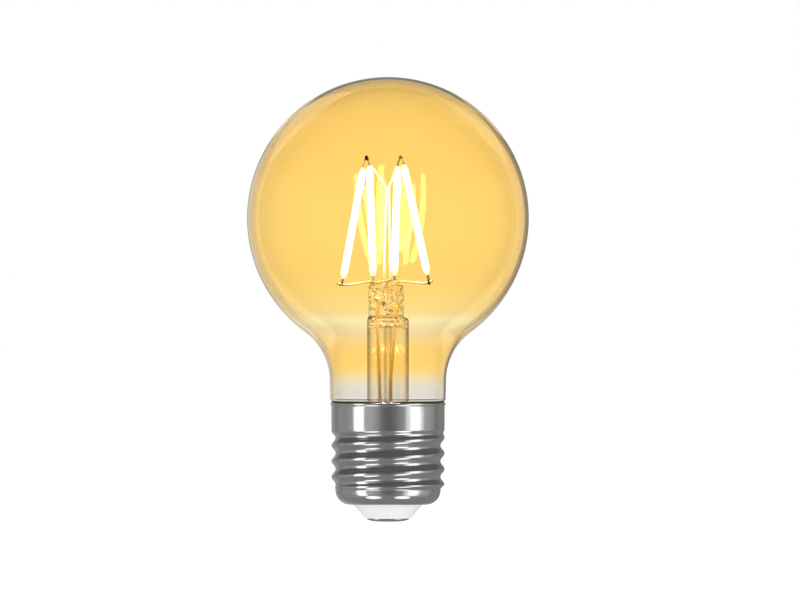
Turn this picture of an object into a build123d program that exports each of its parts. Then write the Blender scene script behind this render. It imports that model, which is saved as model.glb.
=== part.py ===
from build123d import *
import math
import os

# A smart filament lamp: a sealed glass globe on a screw cap that hides a driver and a radio.
# Millimetres. The lamp stands on its cap. The origin is the tip of the centre contact, +Z runs
# up the axis to the top of the globe, +X is to the right and the front faces -Y.

# Globe and its neck
globe_radius = 32.5
globe_centre_z = 70.0
glass_wall = 0.8
neck_radius = 13.4
neck_foot_radius = 13.3
neck_fillet = 14.0
neck_shoulder_z = 27.75
plug_radius = 12.45

# Cap: a thin rolled shell with a round-form right-hand thread
cap_wall = 0.3
crest_radius = 13.075
root_radius = 12.13
lip_radius = 13.3
cap_top_z = 27.45
cap_floor_z = 3.9
bowl_radius = 3.3
thread_pitch = 3.629
crest_at_right_z = 15.75
thread_full_z = 8.7
thread_fades_from_z = 19.3
thread_gone_z = 21.4
skirt_start_z = 21.9
sections_per_turn = 13

# Insulator and centre contact
cone_top_radius = 7.95
cone_tip_radius = 5.2
cone_tip_z = 0.7
contact_radius = 4.8
contact_flat_radius = 2.2
shank_radius = 1.5
shank_top_z = 5.4

# Glass stem: flare, tube and pinch, with the exhaust tube on its axis
stem_radius = 4.64
stem_wall = 0.75
stem_shoulder_z = 46.7
flare_radius = 6.36
flare_centre_z = 28.2
pinch_width = 8.0
pinch_depth = 3.6
pinch_x = -0.45
pinch_top_z = 54.6
exhaust_radius = 1.0
exhaust_bore = 0.55
exhaust_tip_z = 20.9
exhaust_top_z = 47.6
blow_hole_radius = 0.5

# Filaments, the wires that carry them and the weld beads
filament_diameter = 1.5
filament_end_round = 0.35
strip_width = 0.6
strip_thickness = 0.25
strip_beyond_rod = 0.3
tie_wire = 0.36
inner_wire = 0.5
outer_wire = 0.8
top_bead_radius = 0.58
foot_bead_radius = 0.5
foot_bead_drop = 0.2
top_left = Vector(-4.9, -4.0, 83.8)
top_right = Vector(2.85, -4.0, 83.9)

# Driver in the cap
sleeve_radius = 11.55
sleeve_wall = 0.4
sleeve_floor_z = 6.0
sleeve_top_z = 20.3
board_width = 19.0
board_thickness = 1.0
board_floor_z = 7.0
board_top_z = 19.0
radio_board_y = 5.0
radio_board_thickness = 0.8

os.makedirs("parts", exist_ok=True)


def save(piece, name):
    """Label a finished piece, write it and hand its solid back."""
    piece.part.label = name
    export_step(piece.part, f"parts/{name}.step")
    return piece.part


def make_wire(name, points, diameter, bend):
    """A round wire along straight runs with rounded bends."""
    with BuildPart() as wire:
        with BuildLine() as route:
            FilletPolyline(*points, radius=bend)
        with BuildSketch(Plane(route.line @ 0, z_dir=route.line % 0)):
            Circle(diameter / 2)
        sweep()
    return save(wire, name)


# ---------------------------------------------------------------- globe and cement


def globe_outline(inset):
    """Crown and neck fillet of the globe, moved inwards by inset."""
    fillet_centre_x = neck_radius + neck_fillet
    centre_distance = globe_radius + neck_fillet
    fillet_drop = math.sqrt(centre_distance**2 - fillet_centre_x**2)
    tangent_angle = math.degrees(math.acos(fillet_centre_x / centre_distance))
    fillet_centre = (fillet_centre_x, globe_centre_z - fillet_drop)
    CenterArc((0, globe_centre_z), globe_radius - inset, -tangent_angle, 90 + tangent_angle)
    CenterArc(fillet_centre, neck_fillet + inset, 180 - tangent_angle, tangent_angle)
    return fillet_centre[1]


flare_rim_z = flare_centre_z - flare_radius
plug_bore = plug_radius - glass_wall
neck_bore = neck_radius - glass_wall
with BuildPart() as glass_globe:
    with BuildSketch(Plane.XZ):
        with BuildLine():
            fillet_end_z = globe_outline(0)
            globe_outline(glass_wall)
            crown_z = globe_centre_z + globe_radius
            Line((0, crown_z), (0, crown_z - glass_wall))
            Polyline(
                (neck_radius, fillet_end_z),
                (neck_foot_radius, neck_shoulder_z + 0.4),
                (neck_foot_radius - 0.4, neck_shoulder_z),
                (plug_radius, neck_shoulder_z),
                (plug_radius, flare_rim_z),
                (plug_bore, flare_rim_z),
                (plug_bore, neck_shoulder_z - 0.9),
                (neck_bore - 0.6, neck_shoulder_z - 0.25),
                (neck_bore, neck_shoulder_z + 0.5),
                (neck_bore, fillet_end_z),
            )
        make_face()
    revolve(axis=Axis.Z)
save(glass_globe, "glass_globe")

skirt_bore = crest_radius - cap_wall
with BuildPart() as cement_ring:
    with BuildSketch(Plane.XZ):
        with BuildLine():
            Polyline(
                (plug_radius, skirt_start_z),
                (skirt_bore, skirt_start_z),
                (skirt_bore, cap_top_z - 0.8),
                (neck_foot_radius - 0.3, cap_top_z),
                (neck_foot_radius - 0.3, neck_shoulder_z - 0.05),
                (plug_radius, neck_shoulder_z),
                close=True,
            )
        make_face()
    revolve(axis=Axis.Z)
save(cement_ring, "cement_ring")

# ---------------------------------------------------------------- cap

thread_start_z = cap_floor_z + bowl_radius


def smooth_step(z, low, high):
    """0 below low, 1 above high, and an even S between them."""
    t = min(1.0, max(0.0, (z - low) / (high - low)))
    return t * t * (3 - 2 * t)


def thread_section(z):
    """Centre and radius of the round cross-section that, turned with height, rolls the thread."""
    depth = crest_radius - root_radius
    crest = root_radius + depth * smooth_step(z, thread_start_z, thread_full_z)
    root = root_radius + depth * smooth_step(z, thread_fades_from_z, thread_gone_z)
    offset = (crest - root) / 2
    turn = 2 * math.pi * (z - crest_at_right_z) / thread_pitch
    return offset * math.cos(turn), offset * math.sin(turn), (crest + root) / 2


def thread_sections(inset):
    """Every cross-section of the thread, bottom to top, moved inwards by inset."""
    height = skirt_start_z - thread_start_z
    count = round(height / thread_pitch * sections_per_turn)
    sections = []
    for step in range(count + 1):
        z = thread_start_z + height * step / count
        x, y, radius = thread_section(z)
        with BuildSketch(Plane.XY.offset(z)) as section:
            with Locations((x, y)):
                Circle(radius - inset)
        sections.append(section.sketch)
    return sections


shell_hole_radius = 7.05
bowl_centre = (root_radius - bowl_radius, thread_start_z)
outer_sections = thread_sections(0)
inner_sections = thread_sections(cap_wall)
with BuildPart() as cap_shell:
    loft(outer_sections)
    loft(inner_sections, mode=Mode.SUBTRACT)
    with BuildSketch(Plane.XZ):
        with BuildLine():
            outer_bowl = CenterArc(bowl_centre, bowl_radius, -90, 90)
            inner_bowl = CenterArc(bowl_centre, bowl_radius - cap_wall, -90, 90)
            Line(outer_bowl @ 1, inner_bowl @ 1)
            Polyline(
                outer_bowl @ 0,
                (shell_hole_radius, cap_floor_z),
                (shell_hole_radius, cap_floor_z + cap_wall),
                inner_bowl @ 0,
            )
        make_face()
        with BuildLine():
            Polyline(
                (crest_radius, skirt_start_z),
                (crest_radius, cap_top_z - 0.7),
                (lip_radius, cap_top_z - 0.25),
                (lip_radius - 0.08, cap_top_z),
                (neck_foot_radius - 0.3, cap_top_z),
                (skirt_bore, cap_top_z - 0.8),
                (skirt_bore, skirt_start_z),
                close=True,
            )
        make_face()
    revolve(axis=Axis.Z)
save(cap_shell, "cap_shell")

flange_radius = 8.4
flange_top_z = 4.6
boss_radius = 3.4
with BuildPart() as cap_insulator:
    with BuildSketch(Plane.XZ):
        with BuildLine():
            Polyline(
                (shank_radius, cone_tip_z),
                (cone_tip_radius, cone_tip_z),
                (cone_top_radius, cap_floor_z),
                (shell_hole_radius, cap_floor_z),
                (shell_hole_radius, cap_floor_z + cap_wall),
                (flange_radius, cap_floor_z + cap_wall),
                (flange_radius, flange_top_z),
                (boss_radius, flange_top_z),
                (boss_radius, sleeve_floor_z),
                (shank_radius, sleeve_floor_z),
                close=True,
            )
        make_face()
    revolve(axis=Axis.Z)
    tip_edges = cap_insulator.edges().filter_by(GeomType.CIRCLE).group_by(Axis.Z)[0]
    fillet(tip_edges.sort_by(SortBy.RADIUS)[-1], 0.4)
save(cap_insulator, "cap_insulator")

contact_bore = 0.5
contact_edge_z = 0.45
with BuildPart() as centre_contact:
    with BuildSketch(Plane.XZ):
        with BuildLine():
            Line((0, 0), (contact_flat_radius, 0))
            ThreePointArc((contact_flat_radius, 0), (3.7, 0.13), (contact_radius, contact_edge_z))
            Polyline(
                (contact_radius, contact_edge_z),
                (contact_radius, cone_tip_z),
                (shank_radius, cone_tip_z),
                (shank_radius, shank_top_z),
                (contact_bore, shank_top_z),
                (contact_bore, 1.2),
                (0, 1.2),
                (0, 0),
            )
        make_face()
    revolve(axis=Axis.Z)
save(centre_contact, "centre_contact")

# ---------------------------------------------------------------- wires in the glass

# Each support wire rises from the pinch beside the other and then bends out to a top node.
support_routes = {
    "support_wire_left": [(-1.0, -0.3, 51.5), (-1.0, -0.3, 55.4), (-0.4, -0.35, 77.0), top_left],
    "support_wire_right": [(0.58, -0.3, 51.5), (0.58, -0.3, 55.4), (0.18, -0.35, 77.0), top_right],
}
supports = {
    name: make_wire(name, route, inner_wire, 1.5) for name, route in support_routes.items()
}

# Nickel arms from the leads to the feet of the outer filaments
weld_z = 50.0
inner_lead_left = make_wire(
    "inner_lead_left",
    [(-2.3, 0, weld_z), (-3.3, 0, 54.2), (-4.2, -0.8, 55.4), (-9.6, -5.7, 54.5),
     (-11.6, -7.4, 54.85)],
    inner_wire,
    0.5,
)
inner_lead_right = make_wire(
    "inner_lead_right",
    [(2.2, 0, weld_z), (1.9, 0, 54.8), (2.8, -0.7, 55.5), (8.4, -5.4, 54.9), (10.2, -6.85, 55.45)],
    inner_wire,
    0.4,
)

# The jumper crosses in front of the pinch and is held by one foot in the glass.
jumper_dip = Vector(-2.9, -2.8, 54.9)
jumper_right = Vector(1.9, -2.8, 56.0)
jumper_foot = [(-0.2, -1.1, 51.5), (-0.2, -1.1, 54.6), jumper_dip * 0.45 + jumper_right * 0.55]
with BuildPart() as jumper_wire:
    for points in ([(-3.9, -2.8, 55.35), jumper_dip, jumper_right], jumper_foot):
        with BuildLine() as jumper_route:
            FilletPolyline(*points, radius=0.5)
        with BuildSketch(Plane(jumper_route.line @ 0, z_dir=jumper_route.line % 0)):
            Circle(inner_wire / 2)
        sweep(path=jumper_route.line)
jumper = save(jumper_wire, "jumper_wire")

# Copper leads from the driver board up the stem to the welds in the pinch. The right one passes
# in front of the exhaust tube.
board_front_y = -board_thickness / 2
lead_y = board_front_y - outer_wire / 2
outer_lead_left = make_wire(
    "outer_lead_left",
    [(-1.6, lead_y, 17.4), (-1.6, lead_y, 19.8), (-1.7, -0.7, 24.0), (-2.4, 0, 46.5),
     (-2.3, 0, weld_z)],
    outer_wire,
    0.8,
)
outer_lead_right = make_wire(
    "outer_lead_right",
    [(1.6, lead_y, 17.4), (1.6, lead_y, 19.8), (0.5, -1.75, 24.0), (0.6, -1.6, 33.0),
     (1.6, -0.3, 46.5), (2.2, 0, weld_z)],
    outer_wire,
    0.8,
)

# ---------------------------------------------------------------- stem

stem_bore = stem_radius - stem_wall
tube_corner = 0.8
dome_z = stem_shoulder_z - 1.1
with BuildPart() as glass_stem:
    with BuildSketch(Plane.XZ) as stem_profile:
        with BuildLine():
            upper_flare = CenterArc(
                (stem_radius + flare_radius, flare_centre_z), flare_radius, 180, 90
            )
            lower_flare = CenterArc(
                (stem_radius + flare_radius, flare_centre_z), flare_radius + stem_wall, 180, 90
            )
            Polyline(
                upper_flare @ 1,
                (plug_radius, flare_rim_z),
                (plug_radius, flare_rim_z - stem_wall),
                lower_flare @ 1,
            )
            Polyline(upper_flare @ 0, (stem_radius, stem_shoulder_z), (0, stem_shoulder_z))
            Polyline((0, stem_shoulder_z), (0, dome_z), (stem_bore, dome_z), lower_flare @ 0)
        make_face()
        shoulder = stem_profile.vertices().group_by(Axis.Y)[-1].sort_by(Axis.X)[-1]
        fillet(shoulder, tube_corner)
    revolve(axis=Axis.Z)
    with BuildSketch(Plane.XY.offset(stem_shoulder_z - 0.5)):
        with Locations((pinch_x, 0)):
            RectangleRounded(pinch_width, pinch_depth, 1.2)
    extrude(amount=pinch_top_z - stem_shoulder_z + 0.5)
    fillet(glass_stem.edges().group_by(Axis.Z)[-1], 0.7)
    with BuildSketch(Plane.XY.offset(dome_z - 1)):
        Circle(exhaust_radius)
    extrude(amount=exhaust_top_z - dome_z + 1, mode=Mode.SUBTRACT)
    with BuildSketch(Plane.XY.offset(exhaust_top_z)):
        Circle(exhaust_bore)
    extrude(amount=2 * exhaust_bore, mode=Mode.SUBTRACT)
    with BuildSketch(Plane.XZ):
        with Locations((0, exhaust_top_z + exhaust_bore)):
            Circle(blow_hole_radius)
    extrude(amount=pinch_depth, mode=Mode.SUBTRACT)
    for sealed_wire in [
        *supports.values(),
        inner_lead_left,
        inner_lead_right,
        jumper,
        outer_lead_left,
        outer_lead_right,
    ]:
        add(sealed_wire, mode=Mode.SUBTRACT)
save(glass_stem, "glass_stem")

with BuildPart() as exhaust_tube:
    with BuildSketch(Plane.XY.offset(exhaust_tip_z)):
        Circle(exhaust_radius)
    extrude(amount=exhaust_top_z - exhaust_tip_z)
    fillet(exhaust_tube.edges().group_by(Axis.Z)[0], 0.8)
    with BuildSketch(Plane.XY.offset(exhaust_tip_z + 1.0)):
        Circle(exhaust_bore)
    extrude(amount=exhaust_top_z - exhaust_tip_z, mode=Mode.SUBTRACT)
save(exhaust_tube, "exhaust_tube")

# ---------------------------------------------------------------- filaments

# Each filament is a rod round a carrier strip. The strip stands on a wire beside the pinch and
# ends below a top node, and a short tie wire joins it to that node. Each line gives the node, the
# place of the rod's upper end from that node, the strip's foot and its bare length below the rod.
filament_plan = [
    (top_left, Vector(-0.75, 0.25, -2.2), Vector(-10.5, -6.46, 54.97), 1.0),
    (top_left, Vector(0.65, -0.5, -1.75), Vector(-3.4, -2.8, 55.4), 1.15),
    (top_right, Vector(-0.65, -0.5, -1.95), Vector(1.45, -2.8, 56.2), 0.5),
    (top_right, Vector(0.75, 0.25, -1.6), Vector(9.4, -6.2, 55.5), 1.4),
]
strips = []
for number, (node, rod_end, foot, bare_foot) in enumerate(filament_plan, start=1):
    run = node + rod_end - foot
    along = Plane(foot, x_dir=(1, 0, 0), z_dir=run)
    strip_end = foot + run.normalized() * (run.length + strip_beyond_rod)
    tie = node - strip_end
    with BuildPart() as strip:
        with BuildSketch(along):
            Rectangle(strip_width, strip_thickness)
        extrude(amount=run.length + strip_beyond_rod)
        with BuildSketch(Plane(strip_end - tie.normalized() * tie_wire / 4, z_dir=tie)):
            Circle(tie_wire / 2)
        extrude(amount=tie.length - tie_wire)
    strips.append(save(strip, f"filament_strip_{number}"))
    with BuildPart() as filament:
        with BuildSketch(along.offset(bare_foot)):
            Circle(filament_diameter / 2)
            Rectangle(strip_width, strip_thickness, mode=Mode.SUBTRACT)
        extrude(amount=run.length - bare_foot)
        fillet(filament.edges().filter_by(GeomType.CIRCLE), filament_end_round)
    save(filament, f"filament_{number}")


def make_bead(place, radius, buried):
    """A bead of weld metal closed round the wires and strips that meet in it."""
    with BuildPart() as bead:
        with Locations(place):
            Sphere(radius, rotation=(30, 50, 10))
        for piece in buried:
            add(piece, mode=Mode.SUBTRACT)
    return bead.part


def make_beads(name, places, radius, buried):
    """One node of separate beads."""
    finished = [make_bead(place, radius, buried) for place in places]
    with BuildPart() as beads:
        for bead in finished:
            add(bead)
    save(beads, name)


tops = [top_left, top_right]
feet = [line[2] - Vector(0, 0, foot_bead_drop) for line in filament_plan]
make_beads("top_welds", tops, top_bead_radius, [*supports.values(), *strips])
make_beads(
    "foot_welds",
    feet,
    foot_bead_radius,
    [inner_lead_left, inner_lead_right, jumper, *strips],
)

# ---------------------------------------------------------------- driver in the cap

with BuildPart() as insulating_sleeve:
    with BuildSketch(Plane.XY.offset(sleeve_floor_z)):
        Circle(sleeve_radius)
    extrude(amount=sleeve_top_z - sleeve_floor_z)
    with BuildSketch(Plane.XY.offset(sleeve_floor_z + sleeve_wall)):
        Circle(sleeve_radius - sleeve_wall)
    extrude(amount=sleeve_top_z - sleeve_floor_z, mode=Mode.SUBTRACT)
    with BuildSketch(Plane.XY.offset(sleeve_floor_z)):
        Circle(shank_radius)
    extrude(amount=sleeve_wall, mode=Mode.SUBTRACT)
    floor_rim = insulating_sleeve.edges().filter_by(GeomType.CIRCLE).group_by(Axis.Z)[0]
    chamfer(floor_rim.sort_by(SortBy.RADIUS)[-1], 0.3)
save(insulating_sleeve, "insulating_sleeve")

board_back_y = board_thickness / 2
foot_height = 0.8
with BuildPart() as driver_board:
    with BuildSketch(Plane.XZ.offset(-board_back_y)):
        with Locations((0, (board_floor_z + board_top_z) / 2)):
            Rectangle(board_width, board_top_z - board_floor_z)
        with Locations((0, board_floor_z)):
            Rectangle(5.0, 2 * foot_height, mode=Mode.SUBTRACT)
    extrude(amount=board_thickness)
    corners = driver_board.edges().filter_by(Axis.Y)
    fillet(corners.group_by(Axis.Z)[-1], 1.0)
save(driver_board, "driver_board")


def make_can(name, x, y, radius, floor_z, top_z, lead_spacing):
    """A round part that stands beside the board on two leads bent into the board's face."""
    lead_radius = 0.25
    bend_z = floor_z - 0.45
    with BuildPart() as can:
        with BuildSketch(Plane.XY.offset(floor_z)):
            with Locations((x, y)):
                Circle(radius)
        extrude(amount=top_z - floor_z)
        fillet(can.edges().group_by(Axis.Z)[-1], 0.5)
        fillet(can.edges().group_by(Axis.Z)[0], 0.4)
        for side in (-1, 1):
            lead_x = x + side * lead_spacing / 2
            with BuildLine() as route:
                FilletPolyline(
                    (lead_x, y, floor_z), (lead_x, y, bend_z), (lead_x, board_front_y, bend_z),
                    radius=0.35,
                )
            with BuildSketch(Plane(route.line @ 0, z_dir=route.line % 0)):
                Circle(lead_radius)
            sweep()
    return save(can, name)


can_floor_z = 8.1
make_can("input_capacitor", 5.3, -4.2, 3.15, can_floor_z, 18.0, 2.5)
make_can("output_capacitor", -0.9, -4.7, 2.5, can_floor_z, 16.6, 2.0)

# Drum choke: a ferrite spool and the enamelled winding on it
choke_x = -6.6
choke_y = -3.9
choke_radius = 3.0
choke_waist = 1.4
choke_floor_z = 9.0
choke_top_z = 15.0
choke_flange = 1.0
with BuildPart() as choke_core:
    for flange_z in (choke_floor_z, choke_top_z - choke_flange):
        with BuildSketch(Plane.XY.offset(flange_z)):
            with Locations((choke_x, choke_y)):
                Circle(choke_radius)
        extrude(amount=choke_flange)
    with BuildSketch(Plane.XY.offset(choke_floor_z)):
        with Locations((choke_x, choke_y)):
            Circle(choke_waist)
    extrude(amount=choke_top_z - choke_floor_z)
save(choke_core, "choke_core")

turn_pitch = 0.5
turn_count = round((choke_top_z - choke_floor_z - 2 * choke_flange) / turn_pitch)
with BuildPart() as choke_winding:
    with BuildSketch(Plane.XZ.offset(-choke_y)):
        winding_x = choke_x + (choke_waist + choke_radius - 0.5) / 2
        middle_z = (choke_floor_z + choke_top_z) / 2
        with Locations((winding_x, middle_z)):
            Rectangle(choke_radius - 0.5 - choke_waist, turn_count * turn_pitch)
        with Locations((choke_x + choke_radius - 0.5, middle_z)):
            with GridLocations(0, turn_pitch, 1, turn_count):
                Circle(turn_pitch / 2)
    revolve(axis=Axis((choke_x, choke_y, 0), (0, 0, 1)))
save(choke_winding, "choke_winding")


def make_chip(name, x, z, width, height, thickness, pins, pin_pitch):
    """A moulded package on the board's back, with a row of pins along its top and bottom."""
    pin_width = 0.4
    pin_reach = 0.9
    pin_thickness = 0.25
    with BuildPart() as chip:
        with BuildSketch(Plane.XZ.offset(-board_back_y - 0.1)):
            with Locations((x, z)):
                Rectangle(width, height)
        extrude(amount=-thickness)
        chamfer(chip.faces().sort_by(Axis.Y)[-1].edges(), 0.2)
        with BuildSketch(Plane.XZ.offset(-board_back_y)):
            with Locations((x, z)):
                with GridLocations(pin_pitch, height + pin_reach, pins, 2):
                    Rectangle(pin_width, pin_reach + 0.4)
        extrude(amount=-pin_thickness)
    save(chip, name)


make_chip("bridge_rectifier", 6.2, 10.6, 4.0, 3.6, 1.4, 2, 2.5)
make_chip("driver_chip", -5.8, 13.6, 5.0, 3.8, 1.5, 4, 1.27)
make_chip("switch_transistor", 6.0, 15.8, 3.0, 1.6, 1.0, 2, 1.9)


def make_chip_parts(name, size, places):
    """Small surface-mount blocks on the board's back."""
    with BuildPart() as blocks:
        for x, z in places:
            with BuildSketch(Plane.XZ.offset(-board_back_y)):
                with Locations((x, z)):
                    Rectangle(*size)
            extrude(amount=-0.5)
    save(blocks, name)


make_chip_parts("chip_resistors", (0.8, 1.6), [(-1.6, 9.6), (-0.2, 9.6), (1.2, 9.6), (2.6, 9.6)])
make_chip_parts("chip_capacitors", (1.25, 2.0), [(-7.6, 9.0), (-5.9, 9.0), (3.3, 17.4)])

# Fusible resistor across the front of the board's lower edge
fuse_z = 17.6
fuse_y = -2.2
with BuildPart() as fusible_resistor:
    with BuildSketch(Plane.YZ.offset(-9.0)):
        with Locations((fuse_y, fuse_z)):
            Circle(1.2)
    extrude(amount=5.4)
    fillet(fusible_resistor.edges().filter_by(GeomType.CIRCLE), 0.45)
    for end_x, way in ((-9.0, -1), (-3.6, 1)):
        with BuildLine() as fuse_route:
            FilletPolyline(
                (end_x, fuse_y, fuse_z),
                (end_x + way * 0.5, fuse_y, fuse_z),
                (end_x + way * 0.5, board_front_y, fuse_z),
                radius=0.3,
            )
        with BuildSketch(Plane(fuse_route.line @ 0, z_dir=fuse_route.line % 0)):
            Circle(0.2)
        sweep()
save(fusible_resistor, "fusible_resistor")

# Radio module: a small board on a pin header behind the driver board
radio_width = 13.0
radio_floor_z = 8.6
radio_top_z = 19.2
header_z = 18.0
header_pitch = 2.0
header_count = 5
pin_side = 0.5
header_x = -2.0
with BuildPart() as header_pins:
    with BuildSketch(Plane.XZ.offset(-board_back_y)):
        with Locations((header_x, header_z)):
            with GridLocations(header_pitch, 0, header_count, 1):
                Rectangle(pin_side, pin_side)
    extrude(amount=-(radio_board_y + radio_board_thickness + 0.6 - board_back_y))
save(header_pins, "header_pins")

with BuildPart() as header_block:
    with BuildSketch(Plane.XZ.offset(-board_back_y - 2.0)):
        with Locations((header_x, header_z)):
            Rectangle(header_pitch * header_count, header_pitch)
    extrude(amount=-(radio_board_y - board_back_y - 2.0))
    add(header_pins.part, mode=Mode.SUBTRACT)
save(header_block, "header_block")

with BuildPart() as radio_board:
    with BuildSketch(Plane.XZ.offset(-radio_board_y)):
        with Locations((0, (radio_floor_z + radio_top_z) / 2)):
            Rectangle(radio_width, radio_top_z - radio_floor_z)
    extrude(amount=-radio_board_thickness)
    add(header_pins.part, mode=Mode.SUBTRACT)
save(radio_board, "radio_board")

radio_back_y = radio_board_y + radio_board_thickness
shield_height = 1.8
with BuildPart() as radio_shield:
    with BuildSketch(Plane.XZ.offset(-radio_back_y)):
        with Locations((0, 12.2)):
            Rectangle(9.0, 6.4)
    extrude(amount=-shield_height)
    fillet(radio_shield.edges().filter_by(Axis.Y), 0.6)
    fillet(radio_shield.faces().sort_by(Axis.Y)[-1].edges(), 0.3)
    offset(amount=-0.2, openings=radio_shield.faces().sort_by(Axis.Y)[0])
save(radio_shield, "radio_shield")

with BuildPart() as radio_antenna:
    with BuildSketch(Plane.XZ.offset(-radio_back_y)):
        with Locations((4.4, 17.9)):
            Rectangle(3.2, 1.6)
    extrude(amount=-0.9)
save(radio_antenna, "radio_antenna")

# Mains wires: one from the centre contact, one from the shell's wall
mains_wire = 0.6
mains_y = board_front_y - mains_wire / 2 - 0.05
live_wire = make_wire(
    "live_wire",
    [(0, 0, 1.3), (0, 0, 6.6), (-2.0, mains_y, 7.0), (-8.6, mains_y, 8.6), (-8.6, mains_y, 12.0)],
    mains_wire,
    0.5,
)
neutral_wire = make_wire(
    "neutral_wire",
    [(8.7, mains_y, 16.5), (8.7, mains_y, 20.7), (12.1, 0, 20.7), (12.46, 0, 19.5)],
    mains_wire,
    0.3,
)

# Solder where each wire meets its pad, and where the neutral wire meets the shell
solder_places = [
    (-1.6, lead_y, 17.8),
    (1.6, lead_y, 17.8),
    (-8.6, mains_y, 11.6),
    (8.7, mains_y, 16.9),
]
with BuildPart() as solder_joints:
    for x, y, z in solder_places:
        with BuildSketch(Plane.XZ.offset(-board_front_y)):
            with Locations((x, z)):
                Circle(0.8)
        extrude(amount=0.55, taper=25)
    for piece in (outer_lead_left, outer_lead_right, live_wire, neutral_wire):
        add(piece, mode=Mode.SUBTRACT)
save(solder_joints, "solder_joints")
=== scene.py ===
import math

import bpy
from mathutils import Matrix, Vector, noise


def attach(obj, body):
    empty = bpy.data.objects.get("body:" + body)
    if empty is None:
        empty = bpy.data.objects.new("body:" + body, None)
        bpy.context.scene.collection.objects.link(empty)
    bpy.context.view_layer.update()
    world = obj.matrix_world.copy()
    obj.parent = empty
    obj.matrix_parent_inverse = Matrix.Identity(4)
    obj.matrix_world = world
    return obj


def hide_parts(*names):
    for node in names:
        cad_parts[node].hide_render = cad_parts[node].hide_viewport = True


# A smart filament lamp around its CAD frame. Lengths in the tables are millimetres, in the CAD's
# own frame: the origin is the tip of the centre contact, +Z is up and the front faces -Y.

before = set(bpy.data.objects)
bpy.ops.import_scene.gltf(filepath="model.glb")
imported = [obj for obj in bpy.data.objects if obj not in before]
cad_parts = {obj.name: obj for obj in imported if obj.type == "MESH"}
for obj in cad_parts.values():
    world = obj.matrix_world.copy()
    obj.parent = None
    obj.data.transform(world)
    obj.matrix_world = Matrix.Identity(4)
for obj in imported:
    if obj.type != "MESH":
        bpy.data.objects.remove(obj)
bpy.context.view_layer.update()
scene = bpy.context.scene
MM = 0.001

# ------------------------------------------------------------------ node helpers


class Nodes:
    """A short way to write a node tree."""

    def __init__(self, tree):
        self.tree = tree
        self.tree.nodes.clear()

    def add(self, kind, **settings):
        node = self.tree.nodes.new(kind)
        for key, value in settings.items():
            setattr(node, key, value)
        return node

    def link(self, source, target):
        self.tree.links.new(source, target)

    def math(self, operation, first, second=None):
        node = self.add("ShaderNodeMath", operation=operation)
        for socket, value in zip(node.inputs, (first, second)):
            if value is None:
                continue
            if isinstance(value, (int, float)):
                socket.default_value = value
            else:
                self.link(value, socket)
        return node.outputs[0]

    def ramp(self, factor, stops):
        node = self.add("ShaderNodeValToRGB")
        band = node.color_ramp
        while len(band.elements) < len(stops):
            band.elements.new(0.5)
        for element, (place, colour) in zip(band.elements, stops):
            element.position = place
            element.color = (*colour, 1.0)
        self.link(factor, node.inputs[0])
        return node.outputs[0]

    def spread(self, value, low, high, to_low=0.0, to_high=1.0, smooth=False):
        node = self.add("ShaderNodeMapRange", clamp=True)
        if smooth:
            node.interpolation_type = "SMOOTHSTEP"
        self.link(value, node.inputs["Value"])
        for key, number in (
            ("From Min", low),
            ("From Max", high),
            ("To Min", to_low),
            ("To Max", to_high),
        ):
            node.inputs[key].default_value = number
        return node.outputs[0]

    def mix(self, factor, first, second, blend="MIX"):
        node = self.add("ShaderNodeMix", data_type="RGBA", blend_type=blend)
        sockets = node.inputs[0], node.inputs[6], node.inputs[7]
        for socket, value in zip(sockets, (factor, first, second)):
            if isinstance(value, (int, float)):
                socket.default_value = value
            elif isinstance(value, tuple):
                socket.default_value = (*value, 1.0)
            else:
                self.link(value, socket)
        return node.outputs[2]


def grey(value):
    return (value, value, value)


def new_material(name):
    material = bpy.data.materials.new(name)
    material.use_nodes = True
    nodes = Nodes(material.node_tree)
    shader = nodes.add("ShaderNodeBsdfPrincipled")
    output = nodes.add("ShaderNodeOutputMaterial")
    nodes.link(shader.outputs[0], output.inputs[0])
    return material, nodes, shader


def object_place(nodes, stretch=(1, 1, 1)):
    """Object coordinates in millimetres, stretched."""
    place = nodes.add("ShaderNodeTexCoord").outputs["Object"]
    scale = nodes.add("ShaderNodeMapping")
    scale.inputs["Scale"].default_value = tuple(1000 * s for s in stretch)
    nodes.link(place, scale.inputs["Vector"])
    return scale.outputs[0]


def surface(name, dark, light, scale, roughness, bump, metallic=0.0):
    """A solid material whose colour, roughness and relief vary with a fine noise."""
    material, nodes, shader = new_material(name)
    place = object_place(nodes)
    grain = nodes.add("ShaderNodeTexNoise")
    grain.inputs["Scale"].default_value = scale
    grain.inputs["Detail"].default_value = 4
    nodes.link(place, grain.inputs["Vector"])
    value = grain.outputs["Fac"]
    nodes.link(nodes.ramp(value, [(0.3, dark), (0.7, light)]), shader.inputs["Base Color"])
    nodes.link(nodes.spread(value, 0.3, 0.7, *roughness), shader.inputs["Roughness"])
    relief = nodes.add("ShaderNodeBump")
    relief.inputs["Strength"].default_value = 0.6
    relief.inputs["Distance"].default_value = bump * MM
    nodes.link(value, relief.inputs["Height"])
    nodes.link(relief.outputs[0], shader.inputs["Normal"])
    shader.inputs["Metallic"].default_value = metallic
    return material


def dress(node, material):
    """Give a CAD node's mesh its material."""
    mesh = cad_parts[node].data
    for index in range(len(mesh.materials)):
        mesh.materials[index] = material


# ------------------------------------------------------------------ mesh helpers


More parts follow.
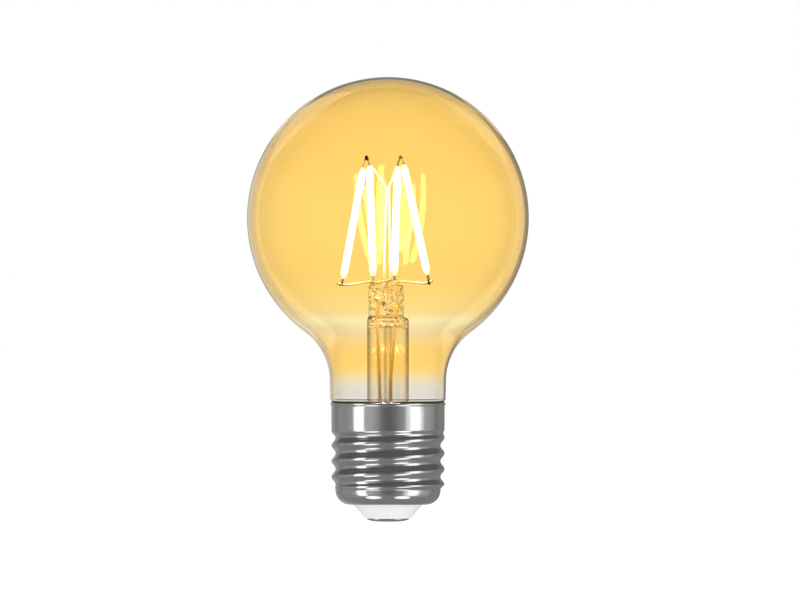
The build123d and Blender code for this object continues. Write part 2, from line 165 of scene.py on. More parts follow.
def ring_mesh(name, rings, closed):
    """A mesh through rings of points in millimetres. A ring of one point is a pole.

    A closed mesh also joins its last ring to its first.
    """
    points, faces, starts = [], [], []
    for ring in rings:
        starts.append(len(points))
        points.extend(Vector(point) * MM for point in ring)
    pairs = list(zip(range(len(rings)), range(1, len(rings))))
    if closed:
        pairs.append((len(rings) - 1, 0))
    for low, high in pairs:
        count_low, count_high = len(rings[low]), len(rings[high])
        count = max(count_low, count_high)
        for step in range(count):
            after = (step + 1) % count
            a = starts[low] + (step if count_low > 1 else 0)
            b = starts[low] + (after if count_low > 1 else 0)
            c = starts[high] + (after if count_high > 1 else 0)
            d = starts[high] + (step if count_high > 1 else 0)
            face = [a, b, c, d]
            faces.append([v for k, v in enumerate(face) if v not in face[:k]])
    mesh = bpy.data.meshes.new(name)
    mesh.from_pydata(points, [], faces)
    mesh.polygons.foreach_set("use_smooth", [True] * len(mesh.polygons))
    mesh.update()
    return mesh


def circle(radius, z, count):
    """A ring of points, or the one point of a pole."""
    if radius < 1e-6:
        return [(0, 0, z)]
    turns = [2 * math.pi * k / count for k in range(count)]
    return [(radius * math.cos(t), radius * math.sin(t), z) for t in turns]


def arc(centre, radius, start, end, steps):
    """Points (radius, z) along an arc, angles in degrees."""
    turns = [math.radians(start + (end - start) * k / steps) for k in range(steps + 1)]
    return [(centre[0] + radius * math.cos(t), centre[1] + radius * math.sin(t)) for t in turns]


def add_piece(name, mesh, material, slot, *nodes):
    """A finished mesh that stands for CAD nodes."""
    piece = bpy.data.objects.new(name, mesh)
    scene.collection.objects.link(piece)
    mesh.materials.append(material)
    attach(piece, "root")
    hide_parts(*nodes)
    return piece


# ------------------------------------------------------------------ glass globe

GLOBE_RADIUS = 32.5
GLOBE_Z = 70.0
WALL = 0.45
NECK_RADIUS = 13.4
NECK_FILLET = 14.0
NECK_FOOT_RADIUS = 13.3
NECK_FOOT_Z = 27.75
PLUG_RADIUS = 12.45
FLARE_RIM_Z = 21.84
GLOBE_STEPS = 96
GLOBE_COLUMNS = 160


def globe_outline(inset):
    """Neck fillet and crown of the globe, moved inwards by inset, bottom to top."""
    centre_x = NECK_RADIUS + NECK_FILLET
    reach = GLOBE_RADIUS + NECK_FILLET
    tangent = math.degrees(math.acos(centre_x / reach))
    centre_z = GLOBE_Z - math.sqrt(reach**2 - centre_x**2)
    neck = arc((centre_x, centre_z), NECK_FILLET + inset, 180, 180 - tangent, GLOBE_STEPS // 4)
    crown = arc((0, GLOBE_Z), GLOBE_RADIUS - inset, -tangent, 90, GLOBE_STEPS)
    return neck[:-1] + crown[:-1] + [(0, GLOBE_Z + GLOBE_RADIUS - inset)]


outline = [
    (PLUG_RADIUS, FLARE_RIM_Z),
    (PLUG_RADIUS, NECK_FOOT_Z),
    (NECK_FOOT_RADIUS - 0.4, NECK_FOOT_Z),
    (NECK_FOOT_RADIUS - 0.12, NECK_FOOT_Z + 0.12),
    (NECK_FOOT_RADIUS, NECK_FOOT_Z + 0.4),
    (NECK_FOOT_RADIUS + 0.03, NECK_FOOT_Z + 1.6),
]
outline += globe_outline(0)
inner = [
    (PLUG_RADIUS - WALL, FLARE_RIM_Z),
    (PLUG_RADIUS - WALL, NECK_FOOT_Z - 0.9),
    (NECK_RADIUS - WALL - 0.6, NECK_FOOT_Z - 0.25),
]
# Close rings above the corner keep its shading off the neck
inner += [(NECK_RADIUS - WALL, NECK_FOOT_Z + rise) for rise in (0.5, 0.6, 0.8, 1.6)]
inner += globe_outline(WALL)
rings = [circle(r, z, GLOBE_COLUMNS) for r, z in outline + inner[::-1]]
globe_mesh = ring_mesh("globe_glass", rings, True)

# Colour of the coated glass by height: z, red, green and blue, linear. The coat fades out down the neck.
# The lighter band under the middle of the globe, about 40 to 53 mm up, is a painted highlight.
COAT_AND_PAINTED_BAND = [
    (29.5, 0.838, 0.818, 0.768),
    (31.4, 0.870, 0.824, 0.745),
    (32.7, 0.920, 0.826, 0.645),
    (34.1, 0.970, 0.815, 0.480),
    (35.5, 1.000, 0.805, 0.412),
    (37.6, 1.000, 0.800, 0.380),
    # Painted highlight: the rows from here up to 53 mm are lighter
    (39.7, 1.000, 0.806, 0.415),
    (41.7, 1.000, 0.825, 0.480),
    (43.5, 1.000, 0.862, 0.570),
    (46.0, 1.000, 0.925, 0.655),
    (46.7, 1.000, 0.922, 0.650),
    (47.4, 1.000, 0.880, 0.560),
    (48.2, 1.000, 0.850, 0.505),
    (50.2, 1.000, 0.836, 0.462),
    (53.0, 1.000, 0.818, 0.418),
    (57.0, 1.000, 0.800, 0.382),
    (102.5, 1.000, 0.792, 0.372),
]


GLASS_IOR = 1.5
FILM_IOR = 1.02


def glass(name, height_tint, edge_shade, edge_shade_range, shine, film):
    """Clear glass tinted by height from a table, whose edges are darkened with painted shade.

    The edge colour darkens the tint where the glass turns edge on, over a range of the facing weight:
    partly the longer path through the tint, partly painted shade for the dark room seen round glass
    edges.
    shine tints head-on reflections. film is a thin layer's tint, which deepens towards grazing and
    tints reflections too. A look through a wall crosses it twice, so the coat is divided by its square.
    """
    material, nodes, shader = new_material(name)
    place = nodes.add("ShaderNodeTexCoord").outputs["Object"]
    split = nodes.add("ShaderNodeSeparateXYZ")
    nodes.link(place, split.inputs[0])
    low, high = height_tint[0][0], height_tint[-1][0]
    height = nodes.spread(split.outputs["Z"], low * MM, high * MM)
    stops = []
    for z, *colour in height_tint:
        stops.append(((z - low) / (high - low), tuple(c / f**2 for c, f in zip(colour, film))))
    tint = nodes.ramp(height, stops)
    # Painted shade: the edge colour darkens the glass where it turns edge on
    facing = nodes.add("ShaderNodeLayerWeight")
    facing.inputs["Blend"].default_value = 0.5
    rim = nodes.spread(facing.outputs["Facing"], *edge_shade_range, smooth=True)
    shade = nodes.mix(rim, tint, nodes.mix(1.0, tint, edge_shade, "MULTIPLY"))
    nodes.link(shade, shader.inputs["Base Color"])
    for key, value in (
        ("Transmission Weight", 1.0),
        ("Roughness", 0.0),
        ("IOR", GLASS_IOR),
        ("Specular Tint", (*shine, 1.0)),
        ("Coat Weight", 1.0),
        ("Coat Roughness", 0.0),
        ("Coat IOR", FILM_IOR),
        ("Coat Tint", (*film, 1.0)),
    ):
        shader.inputs[key].default_value = value
    return material


amber_glass = glass(
    "amber_glass",
    COAT_AND_PAINTED_BAND,
    # Painted shade, partly the tint's longer path: darker brown edges
    edge_shade=(0.45, 0.26, 0.10),
    edge_shade_range=(0.91, 0.985),
    shine=(1.0, 0.85, 0.60),
    film=(1.0, 0.988, 0.965),
)
globe = add_piece("globe_glass", globe_mesh, amber_glass, "amber_glass", "glass_globe")
globe.visible_glossy = False
globe.visible_diffuse = False
globe.visible_shadow = False

# ------------------------------------------------------------------ stem

STEM_RADIUS = 4.78
STEM_WALL = 0.42
SHOULDER_Z = 46.9
FLARE_RADIUS = 6.36
FLARE_Z = 28.2
PINCH_TOP_Z = 54.6
PINCH_HALF_WIDTH = 4.0
PINCH_HALF_DEPTH = 1.8
PINCH_X = -0.45
PINCH_ROUND = 0.75
PINCH_SQUARENESS = 5
PINCH_STEPS = 52
STEM_COLUMNS = 120


def crumple(point):
    """How far the pinched glass stands off its even form: pressed folds across it and small lumps."""
    folds = noise.noise(Vector((point.x * 0.35, point.y * 0.4, point.z * 0.95 + 3.0)))
    lumps = noise.noise(Vector((point.x * 0.85, point.y * 0.9 + 7.0, point.z * 1.2)))
    grain = noise.noise(Vector((point.x * 2.0 + 5.0, point.y * 1.8, point.z * 2.2)))
    return 0.62 * folds + 0.46 * lumps + 0.10 * grain


def pinch_ring(z, share, inset=0.0, crumpled=0.0):
    """The stem's section at z: round at share 0, the pinch's flat oblong at share 1."""
    ring = []
    power = PINCH_SQUARENESS
    tube = STEM_RADIUS - inset
    for k in range(STEM_COLUMNS):
        t = 2 * math.pi * k / STEM_COLUMNS
        c, s = math.cos(t), math.sin(t)
        across = abs(c / (PINCH_HALF_WIDTH - inset)) ** power
        deep = abs(s / (PINCH_HALF_DEPTH - inset)) ** power
        oblong = (across + deep) ** (-1 / power)
        r = tube + (oblong - tube) * share
        point = Vector((r * c + PINCH_X * share, r * s, z))
        if crumpled:
            point += Vector((c * 0.4, s, 0)) * crumple(point) * crumpled
        ring.append(tuple(point))
    return ring


def stem_rings():
    """Bore from its closed end down to the flare's rim, then the outside up to the pinch's top."""
    bore = STEM_RADIUS - STEM_WALL
    flare = (STEM_RADIUS + FLARE_RADIUS, FLARE_Z)
    rim = (PLUG_RADIUS, FLARE_Z - FLARE_RADIUS)
    inside = [(0, SHOULDER_Z - 0.9), (0.9, SHOULDER_Z - 0.9), (2.2, SHOULDER_Z - 0.95)]
    inside += [(3.3, SHOULDER_Z - 1.1), (3.95, SHOULDER_Z - 1.5), (bore, SHOULDER_Z - 2.4)]
    inside += [(bore, z) for z in (42, 38, 34, 30)]
    inside += arc(flare, FLARE_RADIUS + STEM_WALL, 180, 270, 14)
    inside += [(rim[0], rim[1] - STEM_WALL)]
    outside = [rim] + arc(flare, FLARE_RADIUS, 270, 180, 14)
    outside += [(STEM_RADIUS, z) for z in (30, 34, 38, 42, 44.5, SHOULDER_Z - 1.2)]
    rings = [circle(r, z, STEM_COLUMNS) for r, z in inside + outside]
    shoulder = [(-0.8, 0.0, 0.03), (-0.45, 0.04, 0.12), (-0.2, 0.14, 0.3), (0.0, 0.32, 0.5)]
    shoulder += [(0.12, 0.55, 0.6), (0.25, 0.78, 0.7), (0.42, 0.93, 0.9), (0.65, 1.0, 1.0)]
    rings += [pinch_ring(SHOULDER_Z + dz, share, 0.0, rough) for dz, share, rough in shoulder]
    low, high = SHOULDER_Z + 0.65, PINCH_TOP_Z - PINCH_ROUND
    for k in range(1, PINCH_STEPS + 1):
        rings.append(pinch_ring(low + (high - low) * k / PINCH_STEPS, 1.0, 0.0, 1.0))
    for k in range(1, 8):
        t = math.radians(90 * k / 7)
        rings.append(pinch_ring(high + 0.72 * math.sin(t), 1.0, 0.9 * (1 - math.cos(t)), 1.0))
    rings.append(pinch_ring(PINCH_TOP_Z - 0.02, 1.0, 1.3, 0.4))
    rings.append([(PINCH_X, 0, PINCH_TOP_Z - 0.02)])
    return rings


# Air trapped in the pinch: centre and half sizes. The first is the blow hole's flattened end.
BUBBLES = [
    ((-0.8, -0.2, 51.4), (2.3, 0.8, 1.25)),
    ((0.7, -0.5, 49.0), (1.1, 0.5, 0.5)),
    ((-3.1, -0.3, 53.2), (0.6, 0.6, 0.65)),
    ((-1.9, -0.7, 53.6), (0.35, 0.4, 0.55)),
    ((0.6, -0.5, 53.5), (0.6, 0.45, 0.35)),
    ((2.4, -0.4, 52.6), (0.5, 0.5, 0.6)),
    ((2.6, -0.3, 50.4), (0.4, 0.5, 0.5)),
    ((2.0, -0.4, 48.7), (0.45, 0.45, 0.4)),
    ((-3.0, -0.2, 49.2), (0.5, 0.5, 0.4)),
]


LUMP_STEPS = 14
LUMP_COLUMNS = 28


def lump_rings(centre, size):
    """A closed, slightly uneven ball from top to bottom, so that its surface faces inwards."""
    rings = []
    for k in range(LUMP_STEPS + 1):
        t = math.pi * k / LUMP_STEPS
        ring = []
        for point in circle(math.sin(t), math.cos(t), LUMP_COLUMNS):
            place = Vector(centre) + Vector(a * b for a, b in zip(point, size))
            place += (place - Vector(centre)) * 0.35 * noise.noise(place * 1.3)
            ring.append(tuple(place))
        rings.append(ring)
    return rings


def join_meshes(name, meshes):
    """One mesh from several."""
    points, faces = [], []
    for mesh in meshes:
        start = len(points)
        points += [tuple(vertex.co) for vertex in mesh.vertices]
        faces += [[start + v for v in face.vertices] for face in mesh.polygons]
    joined = bpy.data.meshes.new(name)
    joined.from_pydata(points, [], faces)
    joined.polygons.foreach_set("use_smooth", [True] * len(faces))
    joined.update()
    return joined


stem_glass = glass(
    "stem_glass",
    [(20.0, 0.98, 0.97, 0.95), (60.0, 0.98, 0.97, 0.93)],
    # Painted shade: dark brown edges on the clear stem
    edge_shade=(0.12, 0.04, 0.01),
    edge_shade_range=(0.54, 0.76),
    shine=(1.0, 1.0, 1.0),
    film=(0.995, 0.98, 0.95),
)
stem_mesh = join_meshes(
    "stem_glass",
    [ring_mesh("stem", stem_rings(), False)]
    + [ring_mesh("bubble", lump_rings(*bubble), False) for bubble in BUBBLES],
)
stem = add_piece("stem_glass", stem_mesh, stem_glass, "clear_glass", "glass_stem")
stem.visible_shadow = False
dress("exhaust_tube", stem_glass)
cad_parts["exhaust_tube"].visible_shadow = False

# ------------------------------------------------------------------ cap

CREST_RADIUS = 13.075
ROOT_RADIUS = 12.13
LIP_RADIUS = 13.3
CAP_TOP_Z = 27.45
CAP_FLOOR_Z = 3.9
BOWL_RADIUS = 3.3
CAP_WALL = 0.3
PITCH = 3.629
CREST_AT_RIGHT_Z = 15.75
THREAD_START_Z = CAP_FLOOR_Z + BOWL_RADIUS
THREAD_FULL_Z = 8.7
THREAD_FADES_Z = 19.3
THREAD_GONE_Z = 21.4
THREAD_TOP_Z = 21.9
SHELL_HOLE = 7.05
CAP_COLUMNS = 224
THREAD_STEPS = 120


def smooth_step(z, low, high):
    t = min(1.0, max(0.0, (z - low) / (high - low)))
    return t * t * (3 - 2 * t)


def thread_ring(z, inset):
    """The cap's round section at z. Its centre turns with the height, which rolls the thread."""
    depth = CREST_RADIUS - ROOT_RADIUS
    crest = ROOT_RADIUS + depth * smooth_step(z, THREAD_START_Z, THREAD_FULL_Z)
    root = ROOT_RADIUS + depth * smooth_step(z, THREAD_FADES_Z, THREAD_GONE_Z)
    offset, radius = (crest - root) / 2, (crest + root) / 2 - inset
    turn = 2 * math.pi * (z - CREST_AT_RIGHT_Z) / PITCH
    ring = []
    for k in range(CAP_COLUMNS):
        t = 2 * math.pi * k / CAP_COLUMNS
        away = t - turn
        r = offset * math.cos(away) + math.sqrt(radius**2 - (offset * math.sin(away)) ** 2)
        ring.append((r * math.cos(t), r * math.sin(t), z))
    return ring


def cap_rings():
    """Outside from the hole in the floor up to the lip, then the inside back down."""
    bowl_x = ROOT_RADIUS - BOWL_RADIUS
    outside = [(SHELL_HOLE, CAP_FLOOR_Z), (SHELL_HOLE + 0.1, CAP_FLOOR_Z)]
    outside += arc((bowl_x, THREAD_START_Z), BOWL_RADIUS, -90, 0, 16)
    rings = [circle(r, z, CAP_COLUMNS) for r, z in outside]
    span = THREAD_TOP_Z - THREAD_START_Z
    heights = [THREAD_START_Z + span * k / THREAD_STEPS for k in range(1, THREAD_STEPS + 1)]
    rings += [thread_ring(z, 0) for z in heights]
    lip = [
        (CREST_RADIUS, 23.5),
        (CREST_RADIUS, 25.4),
        (CREST_RADIUS, 26.45),
        (CREST_RADIUS + 0.03, 26.62),
        (CREST_RADIUS + 0.13, 26.82),
        (LIP_RADIUS - 0.03, 26.97),
        (LIP_RADIUS, 27.08),
        (LIP_RADIUS - 0.03, 27.22),
        (LIP_RADIUS - 0.12, CAP_TOP_Z),
        (13.0, CAP_TOP_Z),
        (CREST_RADIUS - CAP_WALL, CAP_TOP_Z - 0.8),
        (CREST_RADIUS - CAP_WALL, THREAD_TOP_Z),
    ]
    rings += [circle(r, z, CAP_COLUMNS) for r, z in lip]
    rings += [thread_ring(z, CAP_WALL) for z in heights[-3::-2]]
    inside = arc((bowl_x, THREAD_START_Z), BOWL_RADIUS - CAP_WALL, 0, -90, 8)
    inside += [(SHELL_HOLE, CAP_FLOOR_Z + CAP_WALL)]
    rings += [circle(r, z, CAP_COLUMNS) for r, z in inside]
    return rings


def plated_metal():
    """Nickel plate on a rolled shell: faint lines round the shell and soft handling marks."""
    material, nodes, shader = new_material("nickel_plate")
    lines = nodes.add("ShaderNodeTexNoise")
    lines.inputs["Scale"].default_value = 1.0
    lines.inputs["Detail"].default_value = 3
    nodes.link(object_place(nodes, (0.25, 0.25, 9)), lines.inputs["Vector"])
    marks = nodes.add("ShaderNodeTexNoise")
    marks.inputs["Scale"].default_value = 0.35
    marks.inputs["Detail"].default_value = 5
    nodes.link(object_place(nodes), marks.inputs["Vector"])
    tones = [(0.3, (0.66, 0.655, 0.65)), (0.7, (0.71, 0.708, 0.70))]
    nodes.link(nodes.ramp(marks.outputs["Fac"], tones), shader.inputs["Base Color"])
    both = nodes.math("ADD", lines.outputs["Fac"], marks.outputs["Fac"])
    nodes.link(nodes.spread(both, 0.7, 1.3, 0.11, 0.17), shader.inputs["Roughness"])
    relief = nodes.add("ShaderNodeBump")
    relief.inputs["Strength"].default_value = 0.25
    relief.inputs["Distance"].default_value = 0.01 * MM
    nodes.link(lines.outputs["Fac"], relief.inputs["Height"])
    nodes.link(relief.outputs[0], shader.inputs["Normal"])
    shader.inputs["Metallic"].default_value = 1.0
    return material


cap_mesh = ring_mesh("screw_cap", cap_rings(), True)
cap = add_piece("screw_cap", cap_mesh, plated_metal(), "plated_shell", "cap_shell")

# ------------------------------------------------------------------ finishes of the CAD nodes

# Material, the nodes that wear it, and its finish: dark and light colour, noise scale, range of
# roughness, bump in millimetres and metallic share
FINISHES = [
    ("insulator_white", ["cap_insulator"], grey(0.78), grey(0.81), 0.8, (0.3, 0.4), 0.008),
    ("contact_metal", ["centre_contact"], grey(0.20), (0.66, 0.66, 0.65), 0.8, (0.15, 0.4), 0.15, 1.0),
    ("cement", ["cement_ring"], (0.012, 0.010, 0.009), (0.03, 0.026, 0.022), 1.5, (0.6, 0.9), 0.08),
    (
        "nickel_wire",
        ["support_wire_left", "support_wire_right", "inner_lead_left", "inner_lead_right", "jumper_wire"],
        (0.78, 0.60, 0.38),
        (0.92, 0.76, 0.52),
        2.0,
        (0.2, 0.4),
        0.02,
        0.7,
    ),
    (
        "copper_wire",
        ["outer_lead_left", "outer_lead_right"],
        (1.0, 0.66, 0.16),
        (1.0, 0.78, 0.24),
        1.5,
        (0.5, 0.6),
        0.02,
    ),
    (
        "carrier_strip",
        [f"filament_strip_{number}" for number in range(1, 5)],
        (0.78, 0.64, 0.42),
        (0.94, 0.80, 0.58),
        2.0,
        (0.25, 0.45),
        0.02,
        0.7,
    ),
]
for name, wearers, *finish in FINISHES:
    material = surface(name, *finish)
    for node in wearers:
        dress(node, material)

# The finish of each part inside the cap, in the same order
INSIDE = {
    "insulating_sleeve": ((0.10, 0.10, 0.11), (0.16, 0.16, 0.17), 1.0, (0.45, 0.6), 0.03, 0.0),
    "driver_board": ((0.02, 0.13, 0.05), (0.04, 0.20, 0.08), 2.0, (0.35, 0.5), 0.03, 0.0),
    "radio_board": ((0.01, 0.04, 0.10), (0.02, 0.07, 0.16), 2.0, (0.35, 0.5), 0.03, 0.0),
    "input_capacitor": ((0.015, 0.015, 0.02), (0.04, 0.04, 0.05), 1.2, (0.3, 0.45), 0.02, 0.0),
    "output_capacitor": ((0.015, 0.02, 0.05), (0.03, 0.05, 0.10), 1.2, (0.3, 0.45), 0.02, 0.0),
    "choke_core": ((0.03, 0.03, 0.03), (0.07, 0.065, 0.06), 2.5, (0.6, 0.8), 0.06, 0.0),
    "choke_winding": ((0.55, 0.18, 0.05), (0.75, 0.30, 0.10), 2.0, (0.2, 0.35), 0.02, 0.8),
    "bridge_rectifier": ((0.015, 0.015, 0.015), (0.035, 0.035, 0.035), 3.0, (0.5, 0.7), 0.04, 0.0),
    "driver_chip": ((0.012, 0.012, 0.013), (0.03, 0.03, 0.03), 3.0, (0.5, 0.7), 0.04, 0.0),
    "switch_transistor": ((0.015, 0.015, 0.015), (0.035, 0.035, 0.035), 3.0, (0.5, 0.7), 0.04, 0.0),
    "chip_resistors": ((0.02, 0.02, 0.02), (0.06, 0.06, 0.06), 2.0, (0.4, 0.6), 0.03, 0.0),
    "chip_capacitors": ((0.40, 0.28, 0.16), (0.52, 0.38, 0.24), 2.0, (0.4, 0.6), 0.03, 0.0),
    "fusible_resistor": ((0.10, 0.22, 0.16), (0.16, 0.32, 0.24), 1.6, (0.35, 0.5), 0.03, 0.0),
    "header_pins": ((0.80, 0.55, 0.20), (0.92, 0.68, 0.30), 2.0, (0.2, 0.35), 0.01, 1.0),
    "header_block": ((0.012, 0.012, 0.012), (0.03, 0.03, 0.03), 2.0, (0.4, 0.55), 0.03, 0.0),
    "radio_shield": ((0.62, 0.62, 0.60), (0.75, 0.75, 0.73), 1.4, (0.25, 0.4), 0.02, 1.0),
    "radio_antenna": ((0.70, 0.68, 0.64), (0.82, 0.80, 0.76), 2.0, (0.35, 0.5), 0.02, 0.0),
    "live_wire": ((0.35, 0.03, 0.02), (0.50, 0.06, 0.04), 2.0, (0.35, 0.5), 0.03, 0.0),
    "neutral_wire": ((0.02, 0.06, 0.30), (0.05, 0.11, 0.42), 2.0, (0.35, 0.5), 0.03, 0.0),
    "solder_joints": ((0.50, 0.50, 0.50), (0.72, 0.72, 0.72), 2.5, (0.15, 0.35), 0.05, 1.0),
}
for name, finish in INSIDE.items():
    dress(name, surface(name + "_finish", *finish))

# ------------------------------------------------------------------ filaments and welds

TOP_LEFT, TOP_RIGHT = (-4.9, -4.0, 83.8), (2.85, -4.0, 83.9)
# For each filament: its top node, the rod's upper end from it, the strip's foot and its bare length
FILAMENTS = [
    (TOP_LEFT, (-0.75, 0.25, -2.2), (-10.5, -6.46, 54.97), 1.0),
    (TOP_LEFT, (0.65, -0.5, -1.75), (-3.4, -2.8, 55.4), 1.15),
    (TOP_RIGHT, (-0.65, -0.5, -1.95), (1.45, -2.8, 56.2), 0.5),
    (TOP_RIGHT, (0.75, 0.25, -1.6), (9.4, -6.2, 55.5), 1.4),
]
ROD_RADIUS = 0.75
ROD_COLUMNS = 20
ROD_STEPS = 40
# The rod's tapered end: radius and distance from its tip
ROD_END = [(0, 0), (0.26, 0.02), (0.42, 0.12), (0.54, 0.4), (0.63, 0.9), (0.70, 1.5)]
ROD_FULL = 2.2
# How strongly the rod shines along its length. The bare ends are dim.
GLOW = [
    (0.0, (0.021, 0.019, 0.034)),
    (0.03, (0.024, 0.024, 0.040)),
    (0.045, (0.060, 0.060, 0.060)),
    (0.08, (1.0, 0.88, 1.0)),
    (0.93, (1.0, 0.88, 1.0)),
    (0.96, (0.060, 0.060, 0.060)),
    (1.0, (0.024, 0.022, 0.036)),
]
GLOW_STRENGTH = 45.0


def lit_phosphor():
    """Phosphor silicone over lit chips, which stop short of both ends."""
    material, nodes, shader = new_material("lit_phosphor")
    along = nodes.add("ShaderNodeAttribute", attribute_name="along").outputs["Fac"]
    grain = nodes.add("ShaderNodeTexNoise")
    grain.inputs["Scale"].default_value = 2.5
    nodes.link(object_place(nodes), grain.inputs["Vector"])
    colour = nodes.ramp(grain.outputs["Fac"], [(0.3, (0.85, 0.55, 0.10)), (0.7, (0.95, 0.68, 0.18))])
    nodes.link(colour, shader.inputs["Base Color"])
    shader.inputs["Roughness"].default_value = 0.35
    nodes.link(nodes.ramp(along, GLOW), shader.inputs["Emission Color"])
    shader.inputs["Emission Strength"].default_value = GLOW_STRENGTH
    return material


phosphor = lit_phosphor()
for number, (node, rod_end, foot, bare) in enumerate(FILAMENTS, start=1):
    top, foot = Vector(node) + Vector(rod_end), Vector(foot)
    direction = (top - foot).normalized()
    foot = foot + direction * bare
    length = (top - foot).length
    turn = direction.to_track_quat("Z", "Y")
    span = length - 2 * ROD_FULL
    profile = ROD_END + [(ROD_RADIUS, ROD_FULL + span * k / ROD_STEPS) for k in range(ROD_STEPS + 1)]
    profile += [(r, length - z) for r, z in ROD_END[::-1]]
    rings = []
    for r, z in profile:
        rings.append([foot + turn @ Vector(point) for point in circle(r, z, ROD_COLUMNS)])
    mesh = ring_mesh(f"filament_rod_{number}", rings, False)
    shares = [z / length for (_, z), ring in zip(profile, rings) for _ in ring]
    mesh.attributes.new("along", "FLOAT", "POINT").data.foreach_set("value", shares)
    add_piece(f"filament_rod_{number}", mesh, phosphor, "phosphor", f"filament_{number}")


def weld_metal():
    """Weld metal, bright where it is clean and dark brown where it is burnt."""
    material, nodes, shader = new_material("weld_metal")
    burnt = nodes.add("ShaderNodeAttribute", attribute_name="burnt").outputs["Fac"]
    grain = nodes.add("ShaderNodeTexNoise")
    grain.inputs["Scale"].default_value = 3.0
    nodes.link(object_place(nodes), grain.inputs["Vector"])
    patchy = nodes.math("ADD", burnt, nodes.spread(grain.outputs["Fac"], 0.3, 0.7, -0.25, 0.25))
    tones = [(0.1, (0.85, 0.60, 0.28)), (0.5, (0.35, 0.16, 0.05)), (0.9, (0.04, 0.02, 0.01))]
    nodes.link(nodes.ramp(patchy, tones), shader.inputs["Base Color"])
    nodes.link(nodes.spread(patchy, 0.2, 0.8, 0.3, 0.7), shader.inputs["Roughness"])
    shader.inputs["Metallic"].default_value = 0.8
    return material


def weld_piece(name, lumps, node):
    """Small uneven lumps of weld metal: centre, half sizes and how burnt each one is."""
    meshes = []
    for centre, size, _ in lumps:
        meshes.append(ring_mesh("lump", lump_rings(centre, size)[::-1], False))
    mesh = join_meshes(name, meshes)
    burnt = [lump[2] for lump, part in zip(lumps, meshes) for _ in part.vertices]
    mesh.attributes.new("burnt", "FLOAT", "POINT").data.foreach_set("value", burnt)
    add_piece(name, mesh, weld, "weld", node)


weld = weld_metal()
weld_piece(
    "top_weld",
    [
        ((-4.98, -4.0, 83.95), (0.38, 0.40, 0.42), 1.0),
        ((-4.78, -4.1, 83.55), (0.40, 0.36, 0.34), 0.9),
        ((-5.12, -4.0, 83.52), (0.30, 0.30, 0.26), 0.6),
        ((2.88, -4.0, 83.95), (0.42, 0.36, 0.34), 0.15),
        ((3.20, -4.0, 83.90), (0.22, 0.24, 0.24), 0.8),
        ((2.72, -4.1, 83.65), (0.34, 0.34, 0.32), 0.1),
    ],
    "top_welds",
)
weld_piece(
    "foot_weld",
    [
        ((-10.5, -6.46, 54.86), (0.38, 0.36, 0.40), 0.35),
        ((-10.85, -6.6, 54.62), (0.36, 0.30, 0.24), 0.6),
        ((-3.4, -2.8, 55.22), (0.32, 0.34, 0.34), 0.3),
        ((1.45, -2.8, 56.04), (0.30, 0.34, 0.38), 0.5),
        ((9.35, -6.2, 55.45), (0.32, 0.36, 0.36), 1.0),
        ((9.48, -6.3, 55.02), (0.34, 0.36, 0.42), 1.0),
        ((9.12, -6.0, 55.10), (0.30, 0.28, 0.24), 0.9),
    ],
    "foot_welds",
)

# ------------------------------------------------------------------ world, lights, floor, camera

# Colour of the studio round the lamp, by angle from the front, to the right, in degrees
STUDIO = [
    (-180, (0.42, 0.40, 0.36)),
    (-166, (0.46, 0.44, 0.40)),
    (-150, (0.36, 0.35, 0.34)),
    (-128, grey(0.25)),
    (-114, grey(0.35)),
    (-100, grey(0.31)),
    (-84, grey(0.37)),
    (-70, grey(0.39)),
    (-50, grey(0.48)),
    (-34, grey(0.48)),
    (-24, grey(0.38)),
    (-12, grey(0.20)),
    (0, grey(0.14)),
    (12, grey(0.18)),
    (24, grey(0.28)),
    (36, grey(0.40)),
    (70, grey(0.44)),
    (88, grey(0.44)),
    (106, grey(0.33)),
    (116, grey(0.22)),
    (130, grey(0.27)),
    (150, (0.26, 0.25, 0.24)),
    (166, (0.27, 0.25, 0.22)),
    (180, (0.42, 0.40, 0.36)),
]
# White panels stand all round the lamp, with dark gaps between them that the edges of the glass pick
# up. Brightness seen through the glass, by angle in degrees from the middle of a panel to its gap
HALF_STEP = 22.5
BACKDROP = [(0, 1.18), (10, 1.18), (14, 1.05), (17, 0.78), (19.5, 0.30), (HALF_STEP, 0.06)]
world = bpy.data.worlds.new("studio")
world.use_nodes = True
scene.world = world
nodes = Nodes(world.node_tree)
direction = nodes.add("ShaderNodeTexCoord").outputs["Generated"]
split = nodes.add("ShaderNodeSeparateXYZ")
nodes.link(direction, split.inputs[0])
x, y, z = split.outputs
bearing = nodes.math("ARCTAN2", x, nodes.math("MULTIPLY", y, -1.0))
round_the_lamp = nodes.ramp(
    nodes.spread(bearing, -math.pi, math.pi),
    [((angle + 180) / 360, colour) for angle, colour in STUDIO],
)
above = nodes.spread(z, 0.15, 0.5, smooth=True)
below = nodes.spread(z, -0.8, -0.3, 1.0, 0.0, smooth=True)
room = nodes.mix(above, round_the_lamp, grey(0.12))
room = nodes.mix(below, room, grey(0.25))
off_panel = nodes.math("PINGPONG", bearing, math.radians(HALF_STEP))
panels = nodes.ramp(
    nodes.spread(off_panel, 0.0, math.radians(HALF_STEP)),
    [(angle / HALF_STEP, grey(value)) for angle, value in BACKDROP],
)
steep = nodes.spread(nodes.math("ABSOLUTE", z), 0.45, 0.65, smooth=True)
backdrop = nodes.mix(steep, panels, grey(1.1))
path = nodes.add("ShaderNodeLightPath")
seen = nodes.mix(path.outputs["Is Diffuse Ray"], room, grey(0.9))
seen = nodes.mix(path.outputs["Is Transmission Ray"], seen, backdrop)
seen = nodes.mix(path.outputs["Is Camera Ray"], seen, grey(1.0))
background = nodes.add("ShaderNodeBackground")
nodes.link(seen, background.inputs[0])
nodes.link(background.outputs[0], nodes.add("ShaderNodeOutputWorld").inputs[0])


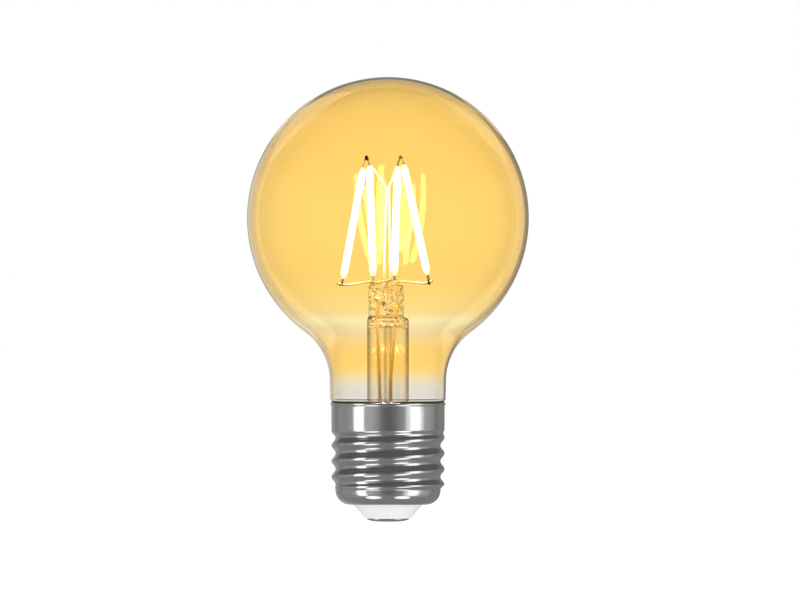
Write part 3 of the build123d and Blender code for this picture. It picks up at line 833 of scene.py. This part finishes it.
def lit_set(name, *pieces):
    """A collection of the pieces that a light reaches."""
    collection = bpy.data.collections.new(name)
    for piece in pieces:
        collection.objects.link(piece)
    return collection


contact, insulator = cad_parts["centre_contact"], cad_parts["cap_insulator"]
metal_parts = lit_set("lit_by_the_boxes", cap, contact, insulator)
glass_parts = lit_set("lit_by_the_rims", globe)
BOX_CENTRE = Vector((0, 0, 0.015))
RIM_COLOUR = (1.0, 0.84, 0.58)


def soft_box(name, bearing_deg, elevation_deg, width, height, brightness, shape, receivers):
    """A soft box a metre from the lamp, by bearing from the front and elevation in degrees."""
    light = bpy.data.lights.new(name, "AREA")
    light.shape = shape
    light.size = width
    light.size_y = height
    light.energy = brightness * math.pi * width * height
    if receivers is glass_parts:
        light.color = RIM_COLOUR
    box = bpy.data.objects.new(name, light)
    scene.collection.objects.link(box)
    t, e = math.radians(bearing_deg), math.radians(elevation_deg)
    away = Vector((math.sin(t) * math.cos(e), -math.cos(t) * math.cos(e), math.sin(e)))
    box.location = away + BOX_CENTRE
    box.rotation_euler = away.to_track_quat("Z", "Y").to_euler()
    box.visible_camera = False
    box.visible_transmission = False
    box.light_linking.receiver_collection = receivers


# Name, bearing, elevation, width, height, brightness, shape and what it lights
for row in (
    ("box_left", -62, 0, 0.42, 1.4, 1.20, "RECTANGLE", metal_parts),
    ("box_right", 58, 0, 0.42, 1.4, 0.62, "RECTANGLE", metal_parts),
    ("box_right_wide", 57, 0, 0.74, 1.4, 0.50, "RECTANGLE", metal_parts),
    ("box_low_left", -43, -51, 0.50, 0.38, 1.30, "ELLIPSE", metal_parts),
    ("box_low_right", 43, -51, 0.50, 0.38, 1.30, "ELLIPSE", metal_parts),
    ("rim_left", -147, 0, 0.62, 2.2, 0.75, "RECTANGLE", glass_parts),
    ("rim_right", 139, 0, 0.36, 2.2, 0.60, "RECTANGLE", glass_parts),
    ("rim_top", 180, 38, 1.8, 0.42, 0.60, "RECTANGLE", glass_parts),
):
    soft_box(*row)

FLOOR_REACH = 2
FLOOR_GLOW = 1.15
square = [(x * FLOOR_REACH, y * FLOOR_REACH, 0) for x, y in ((-1, -1), (1, -1), (1, 1), (-1, 1))]
floor_mesh = bpy.data.meshes.new("floor")
floor_mesh.from_pydata(square, [], [(0, 1, 2, 3)])
floor = bpy.data.objects.new("floor", floor_mesh)
scene.collection.objects.link(floor)
floor.location.z = -0.0005
paper = bpy.data.materials.new("white_paper")
paper.use_nodes = True
nodes = Nodes(paper.node_tree)
glow = nodes.add("ShaderNodeEmission")
glow.inputs["Color"].default_value = (1, 1, 1, 1)
glow.inputs["Strength"].default_value = FLOOR_GLOW
nodes.link(glow.outputs[0], nodes.add("ShaderNodeOutputMaterial").inputs[0])
floor_mesh.materials.append(paper)
floor.visible_glossy = False
floor.visible_diffuse = False
floor.visible_shadow = False

CAMERA_PLACE = (0.00277, -2.4, 0.05108)
CAMERA_LENS = 468.3
camera_data = bpy.data.cameras.new("camera")
camera_data.sensor_width = 36
camera_data.lens = CAMERA_LENS
camera = bpy.data.objects.new("camera", camera_data)
camera.location = CAMERA_PLACE
camera.rotation_euler = (math.radians(90), 0, 0)
scene.collection.objects.link(camera)
scene.camera = camera

scene.view_settings.view_transform = "Standard"
scene.cycles.max_bounces = 40
scene.cycles.transmission_bounces = 36
scene.cycles.glossy_bounces = 8
scene.cycles.transparent_max_bounces = 16
